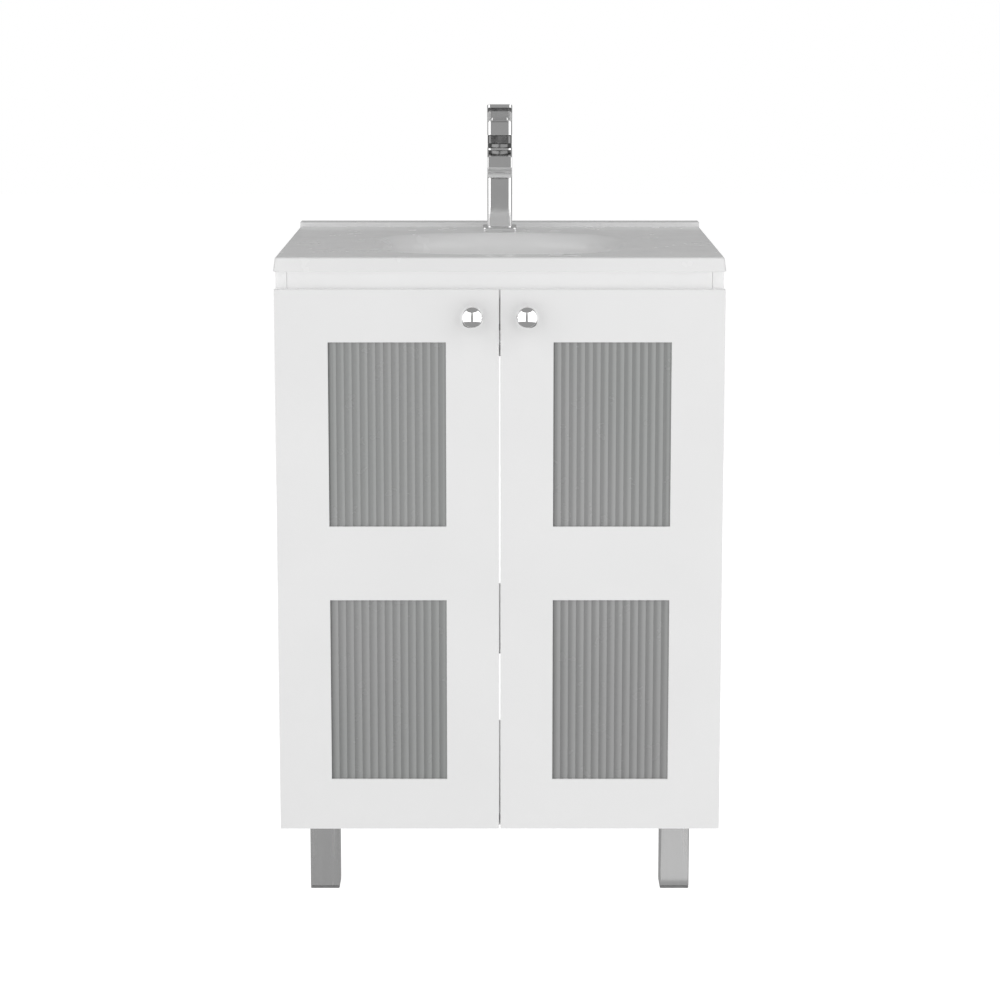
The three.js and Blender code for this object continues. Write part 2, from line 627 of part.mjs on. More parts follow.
// ---------------------------------------------------------------- tap
// Drawn from the tap's centre on the deck, with -Y towards the user.
function addTap() {
  const tap = new THREE.Group();
  tap.position.set(0, tapY, deckHeight);
  vanity.add(tap);
  const half = tapSize / 2;
  const spoutTop = tapHeight - 1;
  const spout = new THREE.Shape();
  const [endLow, endHigh] = [spoutTop - spoutFall - spoutEnd, spoutTop - spoutFall];
  spout.moveTo(0, spoutTop);
  spout.lineTo(spoutBrow - spoutReach, endHigh);
  spout.lineTo(-spoutReach, endHigh - spoutBrow);
  spout.absarc(spoutNose - spoutReach, endLow + spoutNose, spoutNose, Math.PI, 1.5 * Math.PI, false);
  spout.lineTo(0, spoutTop - spoutRoot);
  const aeratorY = aeratorInset - spoutReach;
  const aeratorRadius = half - aeratorMargin;
  const square = roundedRect(tapSize, tapSize, tapCorner);
  const casting = join(
    upright(roundedRect(tapBase, tapBase, tapCorner), fit, tapBaseHeight),
    upright(square, tapBaseHeight - 1, tapHeight, 5),
    sideways(spout, tapSize - 2, 8));
  const waterway = spoutTop - waterwayDrop;
  const body = cut(casting,
    rod(shankRadius + fit, [0, 0, -1], [0, 0, tapBaseHeight], 24),
    rod(shankBore, [0, 0, 0], [0, 0, tapHeight + 1], 24),
    rod(waterwayRadius, [0, 0, waterway], [0, aeratorY, waterway], 12),
    rod(waterwayRadius, [0, aeratorY, endLow - 1], [0, aeratorY, waterway + waterwayRadius / 2], 12),
    rod(aeratorRadius + fit, [0, aeratorY, endLow - spoutFall], [0, aeratorY, endLow + aeratorDepth], 24));
  place(tap, 'faucet_body', body, chrome);
  const aeratorTop = endLow + aeratorDepth - fit;
  const aerator = ring(aeratorRadius, aeratorRadius - aeratorWall, endLow - aeratorDrop, aeratorTop, 24);
  place(tap, 'faucet_aerator', aerator, darkMetal, 0, aeratorY);
  const shankTop = tapBaseHeight - fit;
  place(tap, 'faucet_shank', ring(shankRadius, shankBore, -shankLength, shankTop, 24), darkMetal);
  const nutTop = -slabThickness - fit;
  const nutLow = nutTop - tapNutHeight;
  const nut = cut(rod(tapNutRadius, [0, 0, nutLow], [0, 0, nutTop], 6),
    rod(shankRadius + fit, [0, 0, nutLow - 1], [0, 0, nutTop + 1], 24));
  place(tap, 'faucet_nut', nut, steel);

  const bandLow = tapHeight + collarHeight;
  const capLow = bandLow + bandHeight;
  const capTop = capLow + capHeight;
  const collar = join(
    rod(shankBore - fit, [0, 0, tapHeight - neckDepth], [0, 0, tapHeight + 1], 24),
    rod(half - collarInset, [0, 0, tapHeight + fit], [0, 0, bandLow - fit], 32));
  place(tap, 'faucet_collar', collar, darkMetal);
  const bandSize = tapSize - 2 * bandInset;
  const band = upright(roundedRect(bandSize, bandSize, tapCorner), bandLow, capLow - fit, 5);
  place(tap, 'faucet_band', band, darkMetal);
  const pivotY = leverPivotBack;
  const capFront = -half - pivotY; // from the pin
  const pivotZ = capTop - leverClear + capFront * Math.tan(leverRise);
  const slotX = half - lugMargin + fit;
  const slotReach = lugRadius + 1;
  const seat = new THREE.Shape();
  seat.moveTo(2 * capFront, leverClear - fit - 2 * capFront * Math.tan(leverRise));
  seat.lineTo(0, leverClear - fit);
  seat.lineTo(slotReach, leverClear - fit);
  seat.lineTo(slotReach, leverLength);
  seat.lineTo(2 * capFront, leverLength);
  const pinEnd = half - pinCover;
  const cap = cut(upright(square, capLow, capTop, 5),
    sideways(seat, 2 * tapSize).translate(0, pivotY, pivotZ),
    block([-slotX, pivotY - slotReach, pivotZ - slotReach], [slotX, pivotY + slotReach, capTop + 1]),
    block([-slotX, -tapSize, capTop - capNotch], [slotX, pivotY, capTop + 1]),
    rod(leverPinRadius + fit / 2, [-pinEnd - fit, pivotY, pivotZ], [pinEnd + fit, pivotY, pivotZ], 16));
  place(tap, 'faucet_cap', cap, chrome);
  const leverPin = rod(leverPinRadius, [-pinEnd, pivotY, pivotZ], [pinEnd, pivotY, pivotZ], 16);
  place(tap, 'lever_pin', leverPin, steel);
  place(tap, 'faucet_lever', lever(), chrome, 0, pivotY, pivotZ);
}

// A flat handle rising towards the user, over a lug that turns on the pin at the origin.
function lever() {
  const [rise, run] = [Math.sin(leverRise), Math.cos(leverRise)];
  const handle = new THREE.Shape();
  handle.moveTo(0, leverClear);
  const [back, high] = [leverThickness * rise, leverClear + leverThickness * run];
  handle.lineTo(back, high);
  handle.lineTo(back - leverLength * run, high + leverLength * rise);
  handle.lineTo(-leverLength * run, leverClear + leverLength * rise);
  const lug = new THREE.Shape();
  lug.moveTo(-lugRadius, leverClear + leverThickness);
  lug.lineTo(-lugRadius, 0);
  lug.absarc(0, 0, lugRadius, Math.PI, 2 * Math.PI, false);
  lug.lineTo(lugRadius / 4, leverClear + 1);
  const lugWidth = tapSize - 2 * lugMargin;
  return cut(join(sideways(handle, tapSize), sideways(lug, lugWidth)),
    rod(leverPinRadius + fit / 2, [-lugWidth, 0, 0], [lugWidth, 0, 0], 16));
}

addCarcass();
addShelf();
addLegs();
addHingeArms();
for (const [name, side] of Object.entries(sides)) addDoor(name, side);
addBasin();
addDrain();
addTap();

export default vanity;
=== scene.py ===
import json
import math

import bmesh
import bpy
import numpy as np
from mathutils import Matrix, Vector

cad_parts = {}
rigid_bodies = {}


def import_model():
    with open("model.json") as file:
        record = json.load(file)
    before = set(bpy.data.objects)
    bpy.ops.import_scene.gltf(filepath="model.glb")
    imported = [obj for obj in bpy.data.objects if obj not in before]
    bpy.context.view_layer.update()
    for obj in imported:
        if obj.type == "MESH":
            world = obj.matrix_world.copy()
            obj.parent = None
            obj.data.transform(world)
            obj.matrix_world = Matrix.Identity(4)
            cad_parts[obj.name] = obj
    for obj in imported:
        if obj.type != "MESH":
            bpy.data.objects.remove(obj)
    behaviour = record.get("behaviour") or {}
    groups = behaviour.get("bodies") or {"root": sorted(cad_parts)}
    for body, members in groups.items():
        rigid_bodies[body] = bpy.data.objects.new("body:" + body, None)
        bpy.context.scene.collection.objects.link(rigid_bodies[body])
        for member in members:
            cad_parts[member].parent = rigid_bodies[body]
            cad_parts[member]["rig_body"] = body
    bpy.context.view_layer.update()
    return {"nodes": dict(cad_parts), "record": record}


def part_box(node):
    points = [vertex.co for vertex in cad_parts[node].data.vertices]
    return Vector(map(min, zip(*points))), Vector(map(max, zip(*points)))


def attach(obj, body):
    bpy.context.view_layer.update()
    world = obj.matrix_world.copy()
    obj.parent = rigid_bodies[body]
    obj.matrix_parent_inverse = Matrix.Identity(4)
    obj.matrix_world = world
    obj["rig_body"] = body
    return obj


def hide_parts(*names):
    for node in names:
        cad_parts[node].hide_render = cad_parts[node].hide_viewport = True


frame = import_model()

# ---------------------------------------------------------------- shapes that the frame doesn't give
BOARD_EDGE = 0.0003  # rounding of the boards' banded edges
DOOR_EDGE = 0.0012
STEEL_EDGE = 0.0004
PLASTIC_EDGE = 0.0008
NUT_EDGE = 0.0008
FIT = 0.0003  # gap between pieces that touch

LIP_HEIGHT = 0.0065  # of the strip along the wall, above the deck
LIP_DEPTH = 0.030
LIP_ROUNDING = 0.0012
BASIN_EDGE = 0.019  # height of the basin's outer edge
BASIN_DRAFT = 0.002
BASIN_ROUNDING = 0.003
BASIN_CORNER = 0.006
SLAB = 0.012
SKIRT = 0.020
BOWL_FRONT = 0.062  # from the basin's front, wall and sides to the bowl's wall
BOWL_BACK = 0.146
BOWL_SIDE = 0.144
BOWL_FALL = 0.100
BOWL_ROUND = 0.022
BOWL_WALL = 0.009
BOWL_POWER = 2.9
WALL_POWER = 2.2
DRAIN_HOLE = 0.023
DRAIN_SEAT = 0.033
DRAIN_BORE = 0.0175
DRAIN_TUBE = 0.022
DRAIN_THREAD = (0.004, 0.030)  # where it starts and ends, above the tail's end
DRAIN_BAR = (0.026, 0.018)  # the cross bar's lower and upper face, below the bowl's floor
STOPPER_LOW = 0.0031  # the stopper's rim above the bowl's floor
STEM_RADIUS = 0.003
TAP_HOLE = 0.0175

FLUTES = 15
FLUTE_HEIGHT = 0.0012
GLASS_REACH = 0.007  # of the pane past the window's edge
KNOB_RADIUS = 0.017
KNOB_NECK = 0.0055
KNOB_BASE = 0.008
KNOB_SCREW = (0.002, 0.004, 0.0015)  # shaft radius, head radius and head height
TAP_CORNER = 0.005
TAP_BASE_HEIGHT = 0.007
SPOUT_FALL = 0.006
SPOUT_END = 0.032  # height of the spout at its end and at the column
SPOUT_ROOT = 0.036
SPOUT_NOSE = 0.019  # radius of its lower front edge
SPOUT_BROW = 0.002  # rounding of its upper front edge
NOTCH_DEPTH = 0.0077  # of the notch in the cap's front, with sides that flare
NOTCH_FLARE = 0.0035
NOTCH_REACH = 0.003
NECK_STEM = 0.0127
SHANK_BORE = 0.013
AERATOR_WALL = 0.004
AERATOR_PITCH = 0.0024  # of the grid's bars
LEVER_THICKNESS = 0.005
LEVER_LENGTH = 0.082
LEVER_RISE = math.radians(24)
LEVER_CLEAR = 0.0037  # from the pin up to the handle's underside
LUG_RADIUS = 0.004
LUG_MARGIN = 0.008
LEG_CORNER = 0.002
LEG_WALL = 0.002
LEG_EDGE = 0.0006
STUD_RADIUS = 0.004
PIN_STEM = 0.0024
PIN_HEAD = 0.008  # length of the shelf pin's head
PIN_ROUNDING = 0.0008
THREAD_DEPTH = 0.0008

HINGE_SCREW = 0.0036  # radius of a hinge screw's head
PLATE_SCREWS = (0.0192, 0.017)  # from the plate's front end, and above and below its middle
CUP_SCREWS = (0.0055, 0.024)  # from the flange's outer edge, and above and below its middle

# ---------------------------------------------------------------- camera
CAMERA_DISTANCE = 3.408  # from the door fronts
CAMERA_HEIGHT = 1.235
CAMERA_TILT = math.radians(8.6)
CAMERA_LENS = 93.32
CAMERA_SHIFT = -0.12


def add_camera():
    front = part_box("door_panel_left")[0].y
    data = bpy.data.cameras.new("camera")
    data.lens = CAMERA_LENS
    data.sensor_width = 36
    data.shift_y = CAMERA_SHIFT
    camera = bpy.data.objects.new("camera", data)
    camera.location = (0.0004, front - CAMERA_DISTANCE, CAMERA_HEIGHT)
    camera.rotation_euler = (math.pi / 2 - CAMERA_TILT, 0, 0)
    bpy.context.scene.collection.objects.link(camera)
    bpy.context.scene.camera = camera


# ---------------------------------------------------------------- materials
def gray(value, green=0.0):
    return (value, value * (1 + green), value * (1 + green * 0.4), 1)


class Finish:
    """A Principled material with helpers for its procedural detail, in object coordinates."""

    def __init__(self, name, color, roughness, metallic=0.0):
        self.material = bpy.data.materials.new(name)
        self.material.use_nodes = True
        self.tree = self.material.node_tree
        self.shader = self.tree.nodes["Principled BSDF"]
        self.coordinates = self.tree.nodes.new("ShaderNodeTexCoord")
        self.set("Base Color", color)
        self.set("Roughness", roughness)
        self.set("Metallic", metallic)

    def set(self, socket, value):
        self.shader.inputs[socket].default_value = value

    def noise(self, scale, detail=3, stretch=(1, 1, 1)):
        mapping = self.tree.nodes.new("ShaderNodeMapping")
        mapping.inputs["Scale"].default_value = stretch
        texture = self.tree.nodes.new("ShaderNodeTexNoise")
        texture.inputs["Scale"].default_value = scale
        texture.inputs["Detail"].default_value = detail
        self.tree.links.new(self.coordinates.outputs["Object"], mapping.inputs["Vector"])
        self.tree.links.new(mapping.outputs["Vector"], texture.inputs["Vector"])
        return texture.outputs["Fac"]

    def speckle(self, scale):
        texture = self.tree.nodes.new("ShaderNodeTexVoronoi")
        texture.inputs["Scale"].default_value = scale
        self.tree.links.new(self.coordinates.outputs["Object"], texture.inputs["Vector"])
        return texture.outputs["Distance"]

    def colors(self, factor, low, high, start=0.35, end=0.65):
        ramp = self.tree.nodes.new("ShaderNodeValToRGB")
        ramp.color_ramp.elements[0].position = start
        ramp.color_ramp.elements[0].color = low
        ramp.color_ramp.elements[1].position = end
        ramp.color_ramp.elements[1].color = high
        self.tree.links.new(factor, ramp.inputs["Fac"])
        self.tree.links.new(ramp.outputs["Color"], self.shader.inputs["Base Color"])
        return self

    def roughness(self, factor, low, high):
        scaled = self.tree.nodes.new("ShaderNodeMapRange")
        scaled.inputs["From Min"].default_value = 0.3
        scaled.inputs["From Max"].default_value = 0.7
        scaled.inputs["To Min"].default_value = low
        scaled.inputs["To Max"].default_value = high
        self.tree.links.new(factor, scaled.inputs["Value"])
        self.tree.links.new(scaled.outputs["Result"], self.shader.inputs["Roughness"])
        return self

    def bump(self, factor, height, strength=1.0):
        bump = self.tree.nodes.new("ShaderNodeBump")
        bump.inputs["Distance"].default_value = height
        bump.inputs["Strength"].default_value = strength
        self.tree.links.new(factor, bump.inputs["Height"])
        self.tree.links.new(bump.outputs["Normal"], self.shader.inputs["Normal"])
        return self


def make_lacquer():
    """Sprayed satin lacquer: a faint orange peel and a very slight mottle."""
    finish = Finish("lacquer", gray(0.87), 0.5)
    finish.set("Specular IOR Level", 0.35)
    finish.colors(finish.noise(6), gray(0.862), gray(0.878))
    finish.roughness(finish.noise(14), 0.46, 0.54)
    return finish.bump(finish.noise(420, 2), 0.00006).material


def make_melamine():
    """Melamine-faced board: a fine pressed texture."""
    finish = Finish("melamine", gray(0.85), 0.6)
    finish.set("Specular IOR Level", 0.3)
    finish.colors(finish.noise(9), gray(0.835), gray(0.86))
    finish.roughness(finish.noise(30), 0.55, 0.66)
    return finish.bump(finish.noise(900, 3, (1, 1, 0.5)), 0.00008).material


def make_ceramic():
    """Glazed vitreous china: a soft gloss with a long, barely visible ripple."""
    finish = Finish("basin_ceramic", gray(0.86), 0.25)
    finish.set("IOR", 1.5)
    finish.colors(finish.noise(5), gray(0.852), gray(0.866))
    finish.roughness(finish.noise(22), 0.23, 0.28)
    return finish.bump(finish.noise(28, 1), 0.00005).material


def make_chrome():
    """Polished chrome plate: wiping haze varies its gloss."""
    finish = Finish("chrome", gray(0.95), 0.06, 1.0)
    finish.colors(finish.noise(30), gray(0.94), gray(0.96))
    finish.roughness(finish.noise(60, 4), 0.04, 0.08)
    return finish.bump(finish.noise(900, 2), 0.000004).material


def make_leg_metal():
    """Satin chromed tube: fine lines along its length."""
    finish = Finish("leg_metal", gray(0.9), 0.24, 1.0)
    finish.colors(finish.noise(300, 3, (1, 1, 0.02)), gray(0.88), gray(0.92))
    finish.roughness(finish.noise(240, 3, (1, 1, 0.03)), 0.2, 0.28)
    return finish.bump(finish.noise(700, 3, (1, 1, 0.02)), 0.000008).material


def make_steel():
    """Nickel-plated pressed steel of the hinges, pins, nuts and screws."""
    finish = Finish("fitting_steel", gray(0.55), 0.3, 1.0)
    finish.colors(finish.noise(120), gray(0.50), gray(0.6))
    finish.roughness(finish.noise(200, 4), 0.24, 0.4)
    return finish.bump(finish.noise(1200, 2), 0.00001).material


def make_dark_metal():
    """Dark nickel of the tap's neck, band, shank and aerator."""
    finish = Finish("dark_metal", gray(0.2), 0.2, 1.0)
    finish.colors(finish.noise(80), gray(0.18), gray(0.23))
    finish.roughness(finish.noise(160, 3), 0.15, 0.27)
    return finish.bump(finish.noise(900, 2), 0.000006).material


def make_glass():
    """Fluted glass, made opaque so that the shelf inside doesn't show. Its gray-green tint is the glass's
    own colour, but its darkness is painted shade: it stands in for the cabinet's shaded inside seen through
    the glass.
    """
    # painted shade: the dark gray-green base colours (and their mottle) stand in for the shaded inside seen
    # through the glass
    finish = Finish("fluted_glass", gray(0.2, 0.02), 0.25)
    finish.set("IOR", 1.5)
    finish.colors(finish.noise(5, 2, (1, 1, 0.4)), gray(0.196, 0.03), gray(0.211, 0.005))
    return finish.roughness(finish.noise(40), 0.24, 0.28).material


def make_plastic():
    finish = Finish("retainer_plastic", gray(0.72), 0.45)
    finish.colors(finish.noise(25), gray(0.70), gray(0.735))
    finish.roughness(finish.noise(90), 0.4, 0.52)
    return finish.bump(finish.speckle(1600), 0.00003).material


def make_rubber():
    finish = Finish("seal_rubber", gray(0.03), 0.75)
    finish.colors(finish.noise(60), gray(0.024), gray(0.04))
    finish.roughness(finish.noise(140), 0.65, 0.85)
    return finish.bump(finish.noise(1500, 3), 0.00004).material


def make_foot():
    finish = Finish("foot_plastic", gray(0.2), 0.5)
    finish.colors(finish.noise(70), gray(0.18), gray(0.22))
    finish.roughness(finish.noise(120), 0.42, 0.6)
    return finish.bump(finish.speckle(1400), 0.00004).material


FINISHES = {
    "lacquer": make_lacquer(), "melamine": make_melamine(), "basin_ceramic": make_ceramic(),
    "chrome": make_chrome(), "leg_metal": make_leg_metal(), "fitting_steel": make_steel(),
    "dark_metal": make_dark_metal(), "fluted_glass": make_glass(), "retainer_plastic": make_plastic(),
    "seal_rubber": make_rubber(), "foot_plastic": make_foot(),
}

# ---------------------------------------------------------------- mesh helpers
SLOTS = {part["node"]: part["material_slot"] for part in frame["record"]["subparts"]}


def body_of(node):
    return frame["nodes"][node]["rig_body"]


def middle(node):
    low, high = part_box(node)
    return (low + high) / 2


def settle(piece, node):
    """Gives a piece its finish, and puts it in place of a CAD node."""
    slot = SLOTS[node]
    even_normals(piece)
    piece.data.materials.clear()
    piece.data.materials.append(FINISHES[slot])
    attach(piece, body_of(node))
    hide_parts(node)
    return piece


def add_mesh(name, shells, sharp=30):
    """One object from shells of (points, faces), with an edge where faces meet at over `sharp` degrees."""
    mesh = bpy.data.meshes.new(name)
    points, faces = [], []
    for shell_points, shell_faces in shells:
        base = len(points)
        points += [tuple(point) for point in shell_points]
        faces += [[base + index for index in face] for face in shell_faces]
    mesh.from_pydata(points, [], faces)
    work = bmesh.new()
    work.from_mesh(mesh)
    bmesh.ops.remove_doubles(work, verts=work.verts, dist=1e-7)
    bmesh.ops.recalc_face_normals(work, faces=work.faces)
    work.to_mesh(mesh)
    work.free()
    mesh.shade_smooth()
    mesh.set_sharp_from_angle(angle=math.radians(sharp))
    piece = bpy.data.objects.new(name, mesh)
    bpy.context.scene.collection.objects.link(piece)
    return piece


def apply_modifiers(piece):
    evaluated = piece.evaluated_get(bpy.context.evaluated_depsgraph_get())
    mesh = bpy.data.meshes.new_from_object(evaluated)
    piece.modifiers.clear()
    piece.data = mesh
    return piece


def even_normals(piece):
    """Keeps flat faces flat in the shading, and leaves the turn to the narrow faces between them."""
    modifier = piece.modifiers.new("normals", "WEIGHTED_NORMAL")
    modifier.keep_sharp = True
    modifier.weight = 60
    return apply_modifiers(piece)


def bevel(piece, width, segments=3, angle=35):
    modifier = piece.modifiers.new("bevel", "BEVEL")
    modifier.width = width
    modifier.segments = segments
    modifier.limit_method = "ANGLE"
    modifier.angle_limit = math.radians(angle)
    modifier.use_clamp_overlap = True
    return apply_modifiers(piece)


def boolean(piece, tool, operation):
    modifier = piece.modifiers.new("boolean", "BOOLEAN")
    modifier.object = tool
    modifier.operation = operation
    modifier.solver = "EXACT"
    bpy.context.view_layer.update()
    apply_modifiers(piece)
    bpy.data.objects.remove(tool)
    return piece


def rounded_copy(node, width):
    """A CAD node's shape, with its flat faces made whole and its edges rounded."""
    mesh = frame["nodes"][node].data.copy()
    mesh.name = node + "_surface"
    work = bmesh.new()
    work.from_mesh(mesh)
    bmesh.ops.remove_doubles(work, verts=work.verts, dist=1e-6)
    bmesh.ops.dissolve_limit(work, angle_limit=math.radians(1), verts=work.verts, edges=work.edges)
    bmesh.ops.recalc_face_normals(work, faces=work.faces)
    work.to_mesh(mesh)
    work.free()
    mesh.shade_smooth()
    mesh.set_sharp_from_angle(angle=math.radians(30))
    piece = bpy.data.objects.new(mesh.name, mesh)
    bpy.context.scene.collection.objects.link(piece)
    return settle(bevel(piece, width), node)


def band(low, high, count):
    """The faces between two rings of points that start at `low` and `high`."""
    return [[low + i, low + (i + 1) % count, high + (i + 1) % count, high + i] for i in range(count)]


def loft(rings, caps=True):
    """A shell through rings of points. Without caps the last ring joins the first."""
    rings = [np.asarray(ring, float) for ring in rings]
    count = len(rings[0])
    points = np.concatenate(rings)
    faces = []
    spans = len(rings) - 1 if caps else len(rings)
    for level in range(spans):
        faces += band(level * count, (level + 1) % len(rings) * count, count)
    if caps:
        faces.append(list(range(count))[::-1])
        faces.append([(len(rings) - 1) * count + i for i in range(count)])
    return points, faces


def lathe(profile, turn=Matrix.Identity(3), place=(0, 0, 0), segments=64):
    """A shell of [radius, height] pairs turned about +Z, then turned and placed.

    The profile starts and ends on the axis, or closes on itself.
    """
    angles = np.linspace(0, 2 * math.pi, segments, endpoint=False)
    unit = np.stack([np.cos(angles), np.sin(angles), np.zeros(segments)], axis=1)
    on_axis = profile[0][0] == 0
    faces = []
    inner = profile[1:-1] if on_axis else profile
    rings = [unit * radius + (0, 0, height) for radius, height in inner]
    points = np.concatenate(rings)
    spans = len(rings) - 1 if on_axis else len(rings)
    for level in range(spans):
        faces += band(level * segments, (level + 1) % len(rings) * segments, segments)
    if on_axis:
        points = np.concatenate([points, [(0, 0, profile[0][1]), (0, 0, profile[-1][1])]])
        first, last = len(points) - 2, len(points) - 1
        end = (len(rings) - 1) * segments
        faces += [[first, (i + 1) % segments, i] for i in range(segments)]
        faces += [[last, end + i, end + (i + 1) % segments] for i in range(segments)]
    return points @ np.array(turn).T + np.array(place), faces


def arc(centre, radius, start, end, steps):
    """Points [radius, height] on an arc, with its angles in degrees."""
    angles = np.radians(np.linspace(start, end, steps + 1))
    return [[centre[0] + radius * math.cos(a), centre[1] + radius * math.sin(a)] for a in angles]


def rounded_rect(half_x, half_y, radius, z, centre=(0, 0), along=1, corner=6):
    """A ring, anticlockwise from the left end of its front side, with `along` steps on each side."""
    radius = max(radius, 1e-5)
    ring = []
    corners = [(1, -1, -90), (1, 1, 0), (-1, 1, 90), (-1, -1, 180)]
    previous = np.array([-half_x + radius, -half_y])
    for sx, sy, start in corners:
        angles = np.radians(np.linspace(start, start + 90, corner + 1))
        middle_point = np.array([sx * (half_x - radius), sy * (half_y - radius)])
        bend = middle_point + radius * np.stack([np.cos(angles), np.sin(angles)], axis=1)
        ring += [previous + (bend[0] - previous) * step / along for step in range(along)]
        ring += list(bend[:-1])
        previous = bend[-1]
    ring = np.array(ring) + centre
    return np.column_stack([ring, np.full(len(ring), z)])


def prism(half_x, half_y, corner, low, high, edge, centre=(0, 0), steps=4, top_edge=None):
    """A shell: an upright prism with rounded corners and rounded top and bottom edges."""
    top_edge = edge if top_edge is None else top_edge
    rings = []
    for k in range(steps + 1):
        angle = math.pi / 2 * k / steps
        inset = edge * (1 - math.sin(angle))
        z = low + edge * (1 - math.cos(angle))
        rings.append(rounded_rect(half_x - inset, half_y - inset, corner - inset, z, centre))
    for k in range(steps + 1):
        angle = math.pi / 2 * (1 - k / steps)
        inset = top_edge * (1 - math.sin(angle))
        z = high - top_edge * (1 - math.cos(angle))
        rings.append(rounded_rect(half_x - inset, half_y - inset, corner - inset, z, centre))
    return loft(rings)


def sideways(outline, half_width):
    """A shell: a prism along X of an outline of [y, z] points."""
    count = len(outline)
    points = [(-half_width, y, z) for y, z in outline] + [(half_width, y, z) for y, z in outline]
    faces = [[i, (i + 1) % count, count + (i + 1) % count, count + i] for i in range(count)]
    return np.array(points), faces + [list(range(count))[::-1], [count + i for i in range(count)]]


def moved(shell, matrix):
    points, faces = shell
    return [matrix @ Vector(point) for point in points], faces


# ---------------------------------------------------------------- carcass
def add_boards():
    boards = ["side_panel_left", "side_panel_right", "bottom_panel", "front_rail", "back_rail", "shelf"]
    for node in boards:
        rounded_copy(node, BOARD_EDGE)


def add_shelf_pins():
    for row in ("front", "back"):
        for side, sign in (("left", -1), ("right", 1)):
            node = f"shelf_pin_{row}_{side}"
            low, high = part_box(node)
            radius = (high.z - low.z) / 2
            rounding = PIN_ROUNDING
            start, end = (high.x if sign < 0 else low.x) * sign, max(abs(low.x), abs(high.x))
            face = start + PIN_HEAD
            profile = [[0, start]] + arc((radius - rounding, start + rounding), rounding, -90, 0, 4)
            profile += arc((radius - rounding, face - rounding), rounding, 0, 90, 4)
            profile += [[PIN_STEM, face], [PIN_STEM, end - rounding], [PIN_STEM - rounding, end], [0, end]]
            turn = Matrix.Rotation(sign * math.pi / 2, 3, "Y")
            centre = middle(node)
            settle(add_mesh(node + "_turned", [lathe(profile, turn, (0, centre.y, centre.z), 32)]), node)


def add_legs():
    for row in ("front", "back"):
        for side in ("left", "right"):
            leg, foot = f"leg_{row}_{side}", f"leg_foot_{row}_{side}"
            low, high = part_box(leg)
            pad_low, pad_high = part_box(foot)
            centre = ((low.x + high.x) / 2, (low.y + high.y) / 2)
            half = (high.x - low.x) / 2
            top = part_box("bottom_panel")[0].z - FIT
            inner = half - LEG_WALL
            edge = LEG_EDGE
            rings = [rounded_rect(inner, inner, 0.0005, top - LEG_WALL, centre),
                     rounded_rect(inner, inner, 0.0005, low.z, centre),
                     rounded_rect(half - edge, half - edge, LEG_CORNER - edge, low.z, centre),
                     rounded_rect(half, half, LEG_CORNER, low.z + edge, centre),
                     rounded_rect(half, half, LEG_CORNER, top - edge, centre),
                     rounded_rect(half - edge, half - edge, LEG_CORNER - edge, top, centre)]
            stud_low, stud_root = top - 0.001, STUD_RADIUS - THREAD_DEPTH / 2
            stud = [[0, stud_low]] + thread(stud_root, STUD_RADIUS, stud_low, high.z - 0.001, 0.00125)
            stud += [[STUD_RADIUS - 0.001, high.z], [0, high.z]]
            settle(add_mesh(leg + "_tube", [loft(rings), lathe(stud, place=(*centre, 0), segments=32)]), leg)
            pad_top = low.z - FIT
            plug = inner - FIT
            shells = [prism(half - 0.0002, half - 0.0002, LEG_CORNER, pad_low.z, pad_top, 0.0005, centre),
                      prism(plug, plug, 0.001, pad_top - 0.001, pad_high.z, 0.0008, centre)]
            settle(add_mesh(foot + "_moulded", shells), foot)


def thread(root, crest, low, high, pitch):
    """Ridges along a bolt, as [radius, height] pairs from low to high."""
    points = []
    turns = int((high - low) / pitch)
    for turn in range(turns):
        z = low + turn * pitch
        points += [[root, z], [root, z + pitch * 0.2], [crest, z + pitch * 0.5], [crest, z + pitch * 0.7]]
    return points + [[root, low + turns * pitch]]


def cross_screw(radius, height, turn, place):
    """A pan head with a cross recess: round rings, then sunken ones with four lobes."""
    steps = 48
    angles = np.linspace(0, 2 * math.pi, steps, endpoint=False)
    recess = np.array([radius * (0.52 if (i // 3) % 4 == 0 else 0.16) for i in range(steps)])
    unit = np.stack([np.cos(angles), np.sin(angles)], axis=1)

    def ring(r, z):
        return np.column_stack([unit * np.reshape(r, (-1, 1)), np.full(steps, z)])

    full = np.full(steps, radius)
    rings = [ring(full * 0.96, 0), ring(full, height * 0.15), ring(full, height * 0.45),
             ring(full * 0.9, height * 0.8), ring(full * 0.7, height), ring(recess, height),
             ring(recess * 0.85, height * 0.35)]
    points, faces = loft(rings)
    return points @ np.array(turn).T + np.array(place), faces


# ---------------------------------------------------------------- hinges
def add_hinges():
    for side, sign in (("left", -1), ("right", 1)):
        for level in ("lower", "upper"):
            plate, arm, cup = (f"hinge_{kind}_{level}_{side}" for kind in ("plate", "arm", "cup"))
            for node, edge in ((plate, STEEL_EDGE), (arm, STEEL_EDGE), (cup, STEEL_EDGE / 2)):
                rounded_copy(node, edge)
            inward = Matrix.Rotation(-sign * math.pi / 2, 3, "Y")
            low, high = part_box(plate)
            centre = middle(plate)
            face = low.x if sign > 0 else high.x
            inset, spread = PLATE_SCREWS
            heads = [cross_screw(HINGE_SCREW, 0.0014, inward, (face, low.y + inset, centre.z + z))
                     for z in (-spread, spread)]
            settle_extra(f"hinge_screws_{level}_{side}", heads, "fitting_steel", body_of(plate))
            low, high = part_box(cup)
            centre = middle(cup)
            backward = Matrix.Rotation(-math.pi / 2, 3, "X")
            inset, spread = CUP_SCREWS
            flange_x = (low.x if sign > 0 else high.x) + sign * inset
            heads = [cross_screw(HINGE_SCREW, 0.0008, backward, (flange_x, high.y, centre.z + z))
                     for z in (-spread, spread)]
            settle_extra(f"hinge_cup_screws_{level}_{side}", heads, "fitting_steel", body_of(cup))


def settle_extra(name, shells, slot, body):
    """A small piece that no CAD node stands for."""
    piece = even_normals(add_mesh(name, shells))
    piece.data.materials.append(FINISHES[slot])
    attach(piece, body)
    return piece


